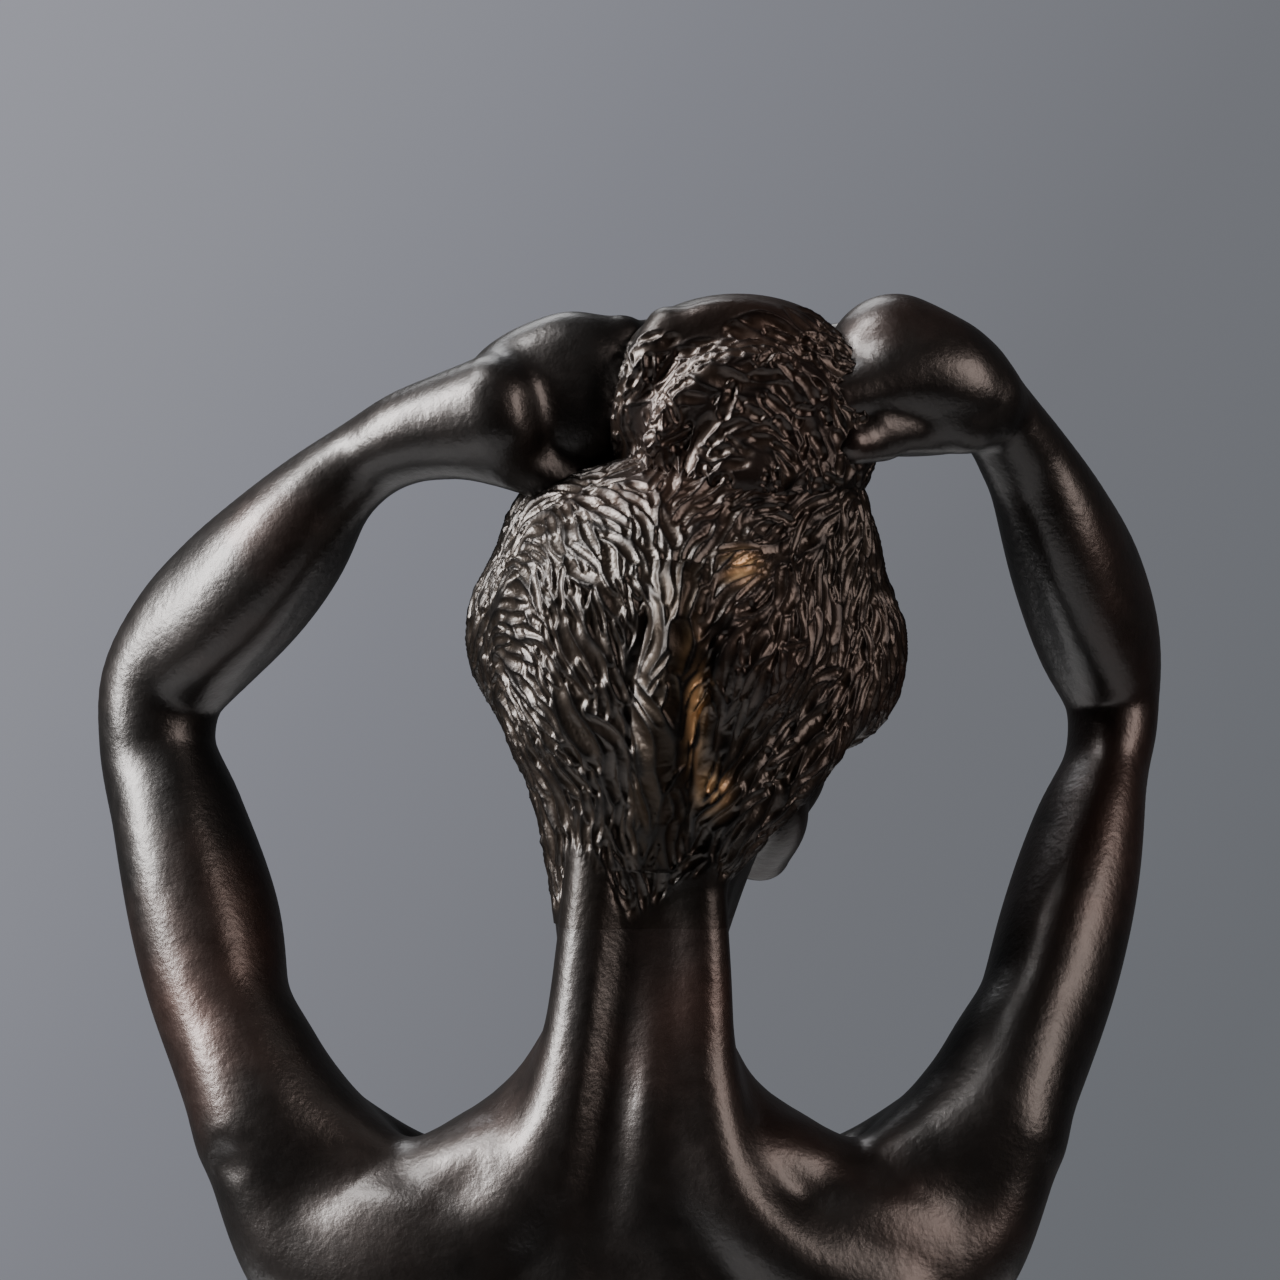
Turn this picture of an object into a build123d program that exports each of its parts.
"""Bronze statuette of a standing draped woman with both hands raised to her hair.

The figure is assembled from hollow and solid lost-wax castings with sleeved and pinned joints, and
stands on a cast terrace that two studs hold to a stone plinth. Millimetres, +Z up, the figure faces
-Y and its left side is +X. The origin is the centre of the felt's underside.
"""

from build123d import *
import os
from math import cos, pi, sin

os.makedirs("parts", exist_ok=True)

# ---------------------------------------------------------------- driving dimensions
PLINTH_WIDTH = 124.0
PLINTH_CORNER = 4.0
PLINTH_CHAMFER = 2.5
FELT_INSET = 3.0
FELT_THICKNESS = 1.5
PLINTH_TOP = 40.0
GROUND = 50.0  # top of the terrace, where the figure stands
WALL = 3.0  # wall of the hollow castings
RUNNING_GAP = 0.1  # gap between a tenon and its socket
HEM_TOP = 284.0  # top edge of the drapery
TENON_FOOT = 262.0  # foot of the torso's tenon inside the drapery
NECK_JOINT = 344.0
PIN_RADIUS = 1.25

# ---------------------------------------------------------------- base
STUD_SPACING = 48.0
STUD_RADIUS = 3.0
STUD_HOLE_RADIUS = 3.5
RECESS_RADIUS = 11.0
RECESS_TOP = 16.0
TERRACE_HALF_WIDTH = 55.0
TERRACE_HALF_DEPTH = 50.0
TERRACE_LIP = 4.0
BOSS_RADIUS = 7.0
WASHER_RADIUS = 9.0
WASHER_THICKNESS = 1.6
NUT_ACROSS_FLATS = 10.0
NUT_HEIGHT = 5.0
STUD_FOOT = RECESS_TOP - WASHER_THICKNESS - NUT_HEIGHT - 2.5
SCREW_RADIUS = 2.0
SCREW_HEAD_RADIUS = 3.6
SCREW_HEAD_HEIGHT = 2.4
SCREW_LENGTH = 10.0
LUG_RADIUS = 5.0
LUG_HEIGHT = 8.0
LUG_PLACES = [(40.5, 0), (-37.5, 0), (0, 31)]
TAPER_DEGREES = 12

# ---------------------------------------------------------------- oval stations of the castings
# Height, centre X, centre Y, half width, half depth, depth of the flutes.
DRAPERY = [
    (GROUND, 0, 0, 46, 39, 2.4),
    (80, 0, 0, 41.5, 35, 2.4),
    (120, 0, 0.5, 38, 31, 2.0),
    (165, 0.5, 1, 37, 29, 1.4),
    (205, 1, 2, 38.5, 28, 0.7),
    (224, 0.5, 1.5, 35, 25.5, 0.4),
    (242, 0, 1, 30.5, 22, 0.2),
    (262, 0, -0.5, 34, 24.5, 0.1),
    (275, 0, -3.5, 35.5, 27.5, 0.1),
    (HEM_TOP, 0, 0, 34.4, 23.8, 0.1),
]
DRAPERY_CORE_TOP = (TENON_FOOT, 0, 0, 31, 21, 0.1)  # the core tapers in under the torso's tenon
FLUTES = 11
FLUTE_POINTS = 44
FLUTE_TWIST = 60.0  # rise in which a flute turns by a radian of its own wave
TENON_OVAL = (31.0, 20.0)
TENON_CENTRE = (0, 0)
TENON_BORE = (26.0, 15.0)

# Height, centre X, centre Y, half width, half depth.
CHEST = [
    (HEM_TOP, *TENON_CENTRE, 33.6, 22.6),
    (290, 0, 0.5, 37.5, 21.5),
    (297, 0, 1, 42.5, 20),
    (304, 0, 1.8, 42, 18),
    (310.5, 0, 2.6, 32, 16.3),
    (317, 0, 3, 20, 14.5),
    (325, 0, 3, 13, 12.5),
    (334, -0.3, 2.5, 11.2, 11.2),
    (NECK_JOINT, -0.6, 1, 11, 11.5),
]
CHEST_CORE = [
    (HEM_TOP, *TENON_CENTRE, 28, 17),
    (290, 0, 0.5, 33, 18),
    (297, 0, 1, 38, 16.8),
    (304, 0, 1.8, 37, 14.8),
    (310.5, 0, 2.6, 27, 12.8),
    (317, 0, 3, 16.5, 11.2),
    (325, 0, 3, 9.8, 9.4),
    (334, -0.3, 2.5, 8, 8),
]
NECK_TENON_RADIUS = 7.0
NECK_TENON_TOP = 354.0

# ---------------------------------------------------------------- arms
# X, Y, Z on the limb's centreline, half width in the frontal plane, half depth front to back.
LEFT_SHOULDER = [
    (26, 2, 291.5, 8, 12),
    (35, 2, 298, 11.5, 14),
    (42, 1.5, 306, 11.8, 13),
    (47.5, -1.5, 318, 9.8, 10.5),
    (50.5, -5, 328, 8.8, 9.5),
]
LEFT_ARM = [
    LEFT_SHOULDER[-1],
    (56, -11, 345, 9.6, 9.2),
    (60.5, -15.5, 359, 8.4, 8),
    (63.4, -18, 371, 8.4, 8),
    (58, -16.5, 382.5, 9.2, 8.4),
    (48, -12, 391.5, 9.2, 8.2),
    (34, -8, 403, 6.6, 6.2),
    (22, -5, 409, 6.6, 6),
]
RIGHT_SHOULDER = [
    (-26, 2, 291.5, 8, 12),
    (-35, 2, 298, 11.5, 14),
    (-42, 1.5, 306, 11.6, 13),
    (-48, -2, 318, 9.2, 10.5),
    (-50.8, -6, 328, 7.4, 9.5),
]
RIGHT_ARM = [
    RIGHT_SHOULDER[-1],
    (-57, -15, 345, 7.2, 9),
    (-62, -23, 358, 6.4, 8),
    (-65, -29, 369.5, 7.6, 8),
    (-62.5, -27, 382, 8.4, 8.4),
    (-58.5, -22, 391.5, 8.0, 8),
    (-53, -15, 400.5, 6.2, 6.4),
    (-47, -8, 408, 5.4, 5.6),
]
TENON_RADIUS = 4.5
TENON_LENGTH = 8.0

# ---------------------------------------------------------------- hands
LEFT_HAND = [
    (22, -5, 409, 6.6, 6),
    (15, -6, 411.5, 8.6, 6.2),
    (6, -9, 412.5, 9.2, 6),
    (-2, -13, 411, 7, 5),
]
RIGHT_HAND = [
    (-47, -8, 408, 5.4, 5.6),
    (-42.5, -4, 412.5, 7.6, 6.2),
    (-34.5, -2, 414.5, 9, 6.5),
    (-27, -4, 414, 7, 5.5),
]

# ---------------------------------------------------------------- head
HEAD_CENTRE = (-7.2, -8, 377)
HEAD_TURN = -35  # about +Z, towards the figure's right
HEAD_NOD = 8  # chin down
# Height above the head's centre, centre across, centre to the back, half width, half depth.
HEAD = [
    (-31, 1, 8, 10.5, 11),
    (-25, 0.5, 2, 14, 19),
    (-18, 0, 0.5, 18, 23.5),
    (-8, 0, 1.5, 22, 26),
    (4, 0, 2.5, 24.5, 27.5),
    (14, 0, 2, 22.5, 25.5),
    (22, 0, 1.5, 15.5, 18.5),
    (25, 0, 1.5, 9, 11),
]
# Height, centre X, centre Y, half width, half depth.
NAPE = [
    CHEST[-1],
    (352, -1.8, 0, 11.8, 13),
    (362, -4, -2, 14, 16),
]
KNOT = [
    (397, -14.5, -3, 12, 11),
    (404, -14.4, -2.5, 15.2, 13.5),
    (411, -14.4, -2, 16, 14.5),
    (418, -14, -2.5, 13.5, 12.5),
    (422.5, -13.5, -3, 8, 8),
]
HEAD_WALL = 4.5

# ---------------------------------------------------------------- dowel and pins
KNOT_DOWEL_RADIUS = 3.0
KNOT_DOWEL_PLACE = (-14.4, -2.5)
KNOT_DOWEL = (388, 407)  # lowest and highest height
HAND_PIN_HEIGHT = 411.5
NECK_PIN_HEIGHT = 349.0
NECK_PIN_HALF_LENGTH = 9.5
SHOULDER_PIN_HALF_LENGTH = 7.0
WAIST_PIN_HEIGHT = 272.0

# ---------------------------------------------------------------- feet, from heel to toe
LEFT_FOOT = [
    (13, -26, 55.2, 5.4, 5),
    (15, -36, 54.6, 6.2, 4.4),
    (16.5, -44, 53.7, 6.0, 3.5),
    (17.2, -49.5, 52.9, 3.6, 2.2),
]
RIGHT_FOOT = [
    (-13, -25, 55.2, 5.4, 5),
    (-15, -33, 54.4, 6, 4.2),
    (-16.5, -40, 53.6, 5.6, 3.4),
    (-17.5, -44.5, 52.7, 3.4, 2.2),
]

# ---------------------------------------------------------------- core plugs in the drapery
PLUG_RADIUS = 2.0
PLUG_HEIGHTS = (100, 175, 218)


def evenly(stations, spacing=7.0):
    """The stations, smoothly resampled at even distances so that a loft doesn't swell between them."""
    along = [0.0]
    for one, two in zip(stations, stations[1:]):
        along.append(along[-1] + (Vector(*two[:3]) - Vector(*one[:3])).length)
    last = len(stations) - 1

    def slopes(index):
        low, high = max(index - 1, 0), min(index + 1, last)
        return [(b - a) / (along[high] - along[low]) for a, b in zip(stations[low], stations[high])]

    count = max(2, round(along[-1] / spacing))
    resampled = [stations[0]]
    for step in range(1, count):
        place = along[-1] * step / count
        index = max(i for i in range(last) if along[i] <= place)
        span = along[index + 1] - along[index]
        t = (place - along[index]) / span
        resampled.append(
            tuple(
                a * (1 + 2 * t) * (1 - t) ** 2
                + b * t * t * (3 - 2 * t)
                + span * (slope_a * t * (1 - t) ** 2 - slope_b * t * t * (1 - t))
                for a, b, slope_a, slope_b in zip(
                    stations[index], stations[index + 1], slopes(index), slopes(index + 1)
                )
            )
        )
    return resampled + [stations[-1]]


def ovals(stations, shrink=0.0, level=Plane.XY):
    """A solid lofted through ovals stacked up the level's own Z axis."""
    with BuildPart() as body:
        for height, x, y, half_width, half_depth in evenly(stations):
            with BuildSketch(level.offset(height)):
                with Locations((x, y)):
                    Ellipse(half_width - shrink, half_depth - shrink)
        loft()
    return body.part


def fluted(stations, shrink=0.0):
    """A solid lofted through ovals whose outline waves in and out as hanging folds do."""
    with BuildPart() as body:
        for height, x, y, half_width, half_depth, flute in evenly(stations, spacing=16):
            points = []
            for step in range(FLUTE_POINTS):
                angle = 2 * pi * step / FLUTE_POINTS
                wave = flute * sin(FLUTES * angle + height / FLUTE_TWIST) - shrink
                points.append((x + (half_width + wave) * cos(angle), y + (half_depth + wave) * sin(angle)))
            with BuildSketch(Plane.XY.offset(height)):
                with BuildLine():
                    Spline(*points, periodic=True)
                make_face()
        loft()
    return body.part


def towards(before, after):
    """The direction from one station to another."""
    return Vector(*after[:3]) - Vector(*before[:3])


def limb(stations, start=None, stop=None, facing=Vector(0, 1, 0)):
    """A solid lofted through ovals square to the line of the stations.

    start and stop are the line's directions at the ends, where another piece carries it on. facing
    is the direction that half depths are measured along.
    """
    line = evenly(stations)
    with BuildPart() as body:
        for index, (x, y, z, half_width, half_depth) in enumerate(line):
            ahead = towards(line[max(index - 1, 0)], line[min(index + 1, len(line) - 1)])
            if index == 0:
                ahead = start or ahead
            elif index == len(line) - 1:
                ahead = stop or ahead
            with BuildSketch(Plane((x, y, z), x_dir=ahead.cross(facing), z_dir=ahead)):
                Ellipse(half_width, half_depth)
        loft()
    return body.part


def rod(start, stop, radius):
    """A round rod from one point to another."""
    start, stop = Vector(*start), Vector(*stop)
    with BuildPart() as body:
        with BuildSketch(Plane(start, z_dir=stop - start)):
            Circle(radius)
        extrude(amount=(stop - start).length)
    return body.part


def save(part, name):
    """Labels a finished piece and writes its STEP file."""
    part.label = name
    export_step(part, f"parts/{name}.step")


STUD_PLACES = GridLocations(STUD_SPACING, 0, 2, 1)

# ---------------------------------------------------------------- base pieces
with BuildPart() as felt_pad:
    with BuildSketch():
        RectangleRounded(PLINTH_WIDTH - 2 * FELT_INSET, PLINTH_WIDTH - 2 * FELT_INSET, PLINTH_CORNER)
    extrude(amount=FELT_THICKNESS)
save(felt_pad.part, "felt_pad")

with BuildPart() as stone_plinth:
    with BuildSketch(Plane.XY.offset(FELT_THICKNESS)):
        RectangleRounded(PLINTH_WIDTH, PLINTH_WIDTH, PLINTH_CORNER)
    extrude(amount=PLINTH_TOP - FELT_THICKNESS)
    chamfer(stone_plinth.edges().group_by(Axis.Z)[-1], length=PLINTH_CHAMFER)
    with BuildSketch(Plane.XY.offset(FELT_THICKNESS)):
        with STUD_PLACES:
            Circle(RECESS_RADIUS)
    extrude(amount=RECESS_TOP - FELT_THICKNESS, mode=Mode.SUBTRACT)
    with BuildSketch(Plane.XY.offset(RECESS_TOP)):
        with STUD_PLACES:
            Circle(STUD_HOLE_RADIUS)
    extrude(amount=PLINTH_TOP - RECESS_TOP, mode=Mode.SUBTRACT)
save(stone_plinth.part, "stone_plinth")

with BuildPart() as terrace:
    with BuildSketch(Plane.XY.offset(PLINTH_TOP)):
        Ellipse(TERRACE_HALF_WIDTH, TERRACE_HALF_DEPTH)
    extrude(amount=GROUND - PLINTH_TOP, taper=TAPER_DEGREES)
    with BuildSketch(Plane.XY.offset(PLINTH_TOP)):
        Ellipse(TERRACE_HALF_WIDTH - TERRACE_LIP, TERRACE_HALF_DEPTH - TERRACE_LIP)
        with STUD_PLACES:
            Circle(BOSS_RADIUS, mode=Mode.SUBTRACT)
    extrude(amount=GROUND - PLINTH_TOP - TERRACE_LIP, mode=Mode.SUBTRACT)
    with BuildSketch(Plane.XY.offset(PLINTH_TOP)):
        with STUD_PLACES:
            Circle(STUD_RADIUS)
        with Locations(LUG_PLACES):
            Circle(SCREW_RADIUS)
    extrude(amount=GROUND - PLINTH_TOP, mode=Mode.SUBTRACT)
save(terrace.part, "terrace_casting")

with BuildPart() as studs:
    with BuildSketch(Plane.XY.offset(STUD_FOOT)):
        with STUD_PLACES:
            Circle(STUD_RADIUS)
    extrude(amount=GROUND - STUD_FOOT)
    chamfer(studs.edges().group_by(Axis.Z)[0], length=0.6)
save(studs.part, "mounting_studs")

with BuildPart() as washers:
    with BuildSketch(Plane.XY.offset(RECESS_TOP - WASHER_THICKNESS)):
        with STUD_PLACES:
            Circle(WASHER_RADIUS)
            Circle(STUD_RADIUS + RUNNING_GAP, mode=Mode.SUBTRACT)
    extrude(amount=WASHER_THICKNESS)
save(washers.part, "stud_washers")

with BuildPart() as nuts:
    with BuildSketch(Plane.XY.offset(RECESS_TOP - WASHER_THICKNESS - NUT_HEIGHT)):
        with STUD_PLACES:
            RegularPolygon(NUT_ACROSS_FLATS / 2, 6, major_radius=False)
            Circle(STUD_RADIUS, mode=Mode.SUBTRACT)
    extrude(amount=NUT_HEIGHT)
save(nuts.part, "stud_nuts")

with BuildPart() as screws:
    with BuildSketch(Plane.XY.offset(GROUND - TERRACE_LIP)):
        with Locations(LUG_PLACES):
            Circle(SCREW_RADIUS)
    extrude(amount=SCREW_LENGTH)
    with BuildSketch(Plane.XY.offset(GROUND - TERRACE_LIP)):
        with Locations(LUG_PLACES):
            Circle(SCREW_HEAD_RADIUS)
    extrude(amount=-SCREW_HEAD_HEIGHT)
save(screws.part, "terrace_screws")

# ---------------------------------------------------------------- feet
left_foot_shape = limb(LEFT_FOOT, facing=Vector(0, 0, 1))
right_foot_shape = limb(RIGHT_FOOT, facing=Vector(0, 0, 1))
drapery_shape = fluted(DRAPERY)
drapery_core = fluted(DRAPERY[:-3] + [DRAPERY_CORE_TOP], shrink=WALL)

with BuildPart() as left_foot:
    add(left_foot_shape)
    split(bisect_by=Plane.XY.offset(GROUND), keep=Keep.TOP)
save(left_foot.part, "left_foot_casting")

with BuildPart() as right_foot:
    add(right_foot_shape)
    split(bisect_by=Plane.XY.offset(GROUND), keep=Keep.TOP)
save(right_foot.part, "right_foot_casting")

# ---------------------------------------------------------------- drapery
waist_pin_rods = [
    rod((28, 0, WAIST_PIN_HEIGHT), (34, 0, WAIST_PIN_HEIGHT), PIN_RADIUS),
    rod((-28, 0, WAIST_PIN_HEIGHT), (-34, 0, WAIST_PIN_HEIGHT), PIN_RADIUS),
    rod((0, 17, WAIST_PIN_HEIGHT), (0, 22.5, WAIST_PIN_HEIGHT), PIN_RADIUS),
    rod((0, -17, WAIST_PIN_HEIGHT), (0, -26, WAIST_PIN_HEIGHT), PIN_RADIUS),
]
plug_rods = [
    rod((side * 10, 0, height), (side * 60, 10, height), PLUG_RADIUS)
    for height in PLUG_HEIGHTS
    for side in (-1, 1)
]

with BuildPart() as drapery_shell:
    add(drapery_shape)
    add(drapery_core, mode=Mode.SUBTRACT)
    with BuildSketch(Plane.XY.offset(TENON_FOOT)):
        with Locations(TENON_CENTRE):
            Ellipse(TENON_OVAL[0] + RUNNING_GAP, TENON_OVAL[1] + RUNNING_GAP)
    extrude(amount=HEM_TOP - TENON_FOOT, mode=Mode.SUBTRACT)
    with BuildSketch(Plane.XY.offset(GROUND)):
        with Locations(LUG_PLACES):
            Circle(LUG_RADIUS)
    extrude(amount=LUG_HEIGHT)
    with BuildSketch(Plane.XY.offset(GROUND)):
        with Locations(LUG_PLACES):
            Circle(SCREW_RADIUS)
    extrude(amount=SCREW_LENGTH, mode=Mode.SUBTRACT)

with BuildPart() as plugs:
    add(plug_rods)
    add(drapery_shell.part, mode=Mode.INTERSECT)
save(plugs.part, "core_plugs")

with BuildPart() as drapery:
    add(drapery_shell.part)
    add(plug_rods, mode=Mode.SUBTRACT)
    add(waist_pin_rods, mode=Mode.SUBTRACT)
    add([left_foot_shape, right_foot_shape], mode=Mode.SUBTRACT)
save(drapery.part, "drapery_casting")

with BuildPart() as waist_pins:
    add(waist_pin_rods)
save(waist_pins.part, "waist_pins")

# ---------------------------------------------------------------- torso
left_way = towards(LEFT_SHOULDER[-2], LEFT_ARM[1])
right_way = towards(RIGHT_SHOULDER[-2], RIGHT_ARM[1])
left_joint = Plane(LEFT_ARM[0][:3], z_dir=left_way)
right_joint = Plane(RIGHT_ARM[0][:3], z_dir=right_way)
left_stub = limb(LEFT_SHOULDER, stop=left_way)
right_stub = limb(RIGHT_SHOULDER, stop=right_way)
chest = ovals(CHEST)
chest_core = ovals(CHEST_CORE)


def cross_pin(plane, half_length):
    """A pin from front to back through the middle of the tenon behind a joint plane."""
    middle = plane.offset(-TENON_LENGTH / 2).origin
    along = plane.z_dir.cross(Vector(1, 0, 0)).normalized() * half_length
    return rod(middle - along, middle + along, PIN_RADIUS)


left_shoulder_pin = cross_pin(left_joint, SHOULDER_PIN_HALF_LENGTH)
right_shoulder_pin = cross_pin(right_joint, SHOULDER_PIN_HALF_LENGTH)
neck_pin = rod(
    (-NECK_PIN_HALF_LENGTH, 0, NECK_PIN_HEIGHT), (NECK_PIN_HALF_LENGTH, 0, NECK_PIN_HEIGHT), PIN_RADIUS
)

with BuildPart() as torso:
    add([chest, left_stub, right_stub])
    with BuildSketch(Plane.XY.offset(TENON_FOOT)):
        with Locations(TENON_CENTRE):
            Ellipse(*TENON_OVAL)
    extrude(amount=HEM_TOP - TENON_FOOT)
    add(chest_core, mode=Mode.SUBTRACT)
    with BuildSketch(Plane.XY.offset(TENON_FOOT)):
        with Locations(TENON_CENTRE):
            Ellipse(*TENON_BORE)
    extrude(amount=HEM_TOP - TENON_FOOT + 1, mode=Mode.SUBTRACT)
    for plane in (left_joint, right_joint):
        with BuildSketch(plane):
            Circle(TENON_RADIUS + RUNNING_GAP)
        extrude(amount=-TENON_LENGTH - RUNNING_GAP, mode=Mode.SUBTRACT)
    with BuildSketch(Plane.XY.offset(NECK_JOINT)):
        with Locations(CHEST[-1][1:3]):
            Circle(NECK_TENON_RADIUS)
    extrude(amount=NECK_TENON_TOP - NECK_JOINT)
    add([left_shoulder_pin, right_shoulder_pin, neck_pin, *waist_pin_rods], mode=Mode.SUBTRACT)
save(torso.part, "torso_casting")

for name, pin in (
    ("left_shoulder_pin", left_shoulder_pin),
    ("right_shoulder_pin", right_shoulder_pin),
    ("neck_pin", neck_pin),
):
    save(pin, name)

# ---------------------------------------------------------------- head
head_level = Plane(HEAD_CENTRE).rotated((HEAD_NOD, 0, HEAD_TURN))
head_shape = ovals(HEAD, level=head_level)
head_core = ovals(HEAD[2:-1], shrink=HEAD_WALL, level=head_level)
nape = ovals(NAPE)
knot_shape = ovals(KNOT)
knot_dowel = rod((*KNOT_DOWEL_PLACE, KNOT_DOWEL[0]), (*KNOT_DOWEL_PLACE, KNOT_DOWEL[1]), KNOT_DOWEL_RADIUS)
left_hand_pin = rod((-6, -6, HAND_PIN_HEIGHT), (8, -7.5, HAND_PIN_HEIGHT), PIN_RADIUS)
right_hand_pin = rod((-38, -2.5, HAND_PIN_HEIGHT), (-23, -3, HAND_PIN_HEIGHT), PIN_RADIUS)

with BuildPart() as head:
    add([head_shape, nape])
    split(bisect_by=Plane.XY.offset(NECK_JOINT), keep=Keep.TOP)
    with BuildSketch(Plane.XY.offset(NECK_JOINT)):
        with Locations(CHEST[-1][1:3]):
            Circle(NECK_TENON_RADIUS + RUNNING_GAP)
    extrude(amount=NECK_TENON_TOP - NECK_JOINT + RUNNING_GAP, mode=Mode.SUBTRACT)
    add([head_core, neck_pin, knot_dowel], mode=Mode.SUBTRACT)
save(head.part, "head_casting")

with BuildPart() as knot:
    add(knot_shape)
    add([head_shape, knot_dowel, left_hand_pin, right_hand_pin], mode=Mode.SUBTRACT)
save(knot.part, "hair_knot_casting")
save(knot_dowel, "knot_dowel")


# ---------------------------------------------------------------- arms
def arm(stations, hand, plane, pins):
    """An arm with its hand and its shoulder tenon, cut away where it meets the hair."""
    wrist_way = towards(stations[-2], hand[1])
    upper = limb(stations, start=plane.z_dir, stop=wrist_way)
    palm = limb(hand, start=wrist_way)
    with BuildPart() as casting:
        add([upper, palm])
        with BuildSketch(plane):
            Circle(TENON_RADIUS)
        extrude(amount=-TENON_LENGTH)
        add([head_shape, knot_shape, *pins], mode=Mode.SUBTRACT)
    return casting.part.solids().sort_by(SortBy.VOLUME)[-1]


save(
    arm(LEFT_ARM, LEFT_HAND, left_joint, [left_hand_pin, left_shoulder_pin]),
    "left_arm_casting",
)
save(
    arm(RIGHT_ARM, RIGHT_HAND, right_joint, [right_hand_pin, right_shoulder_pin]),
    "right_arm_casting",
)
save(left_hand_pin, "left_hand_pin")
save(right_hand_pin, "right_hand_pin")
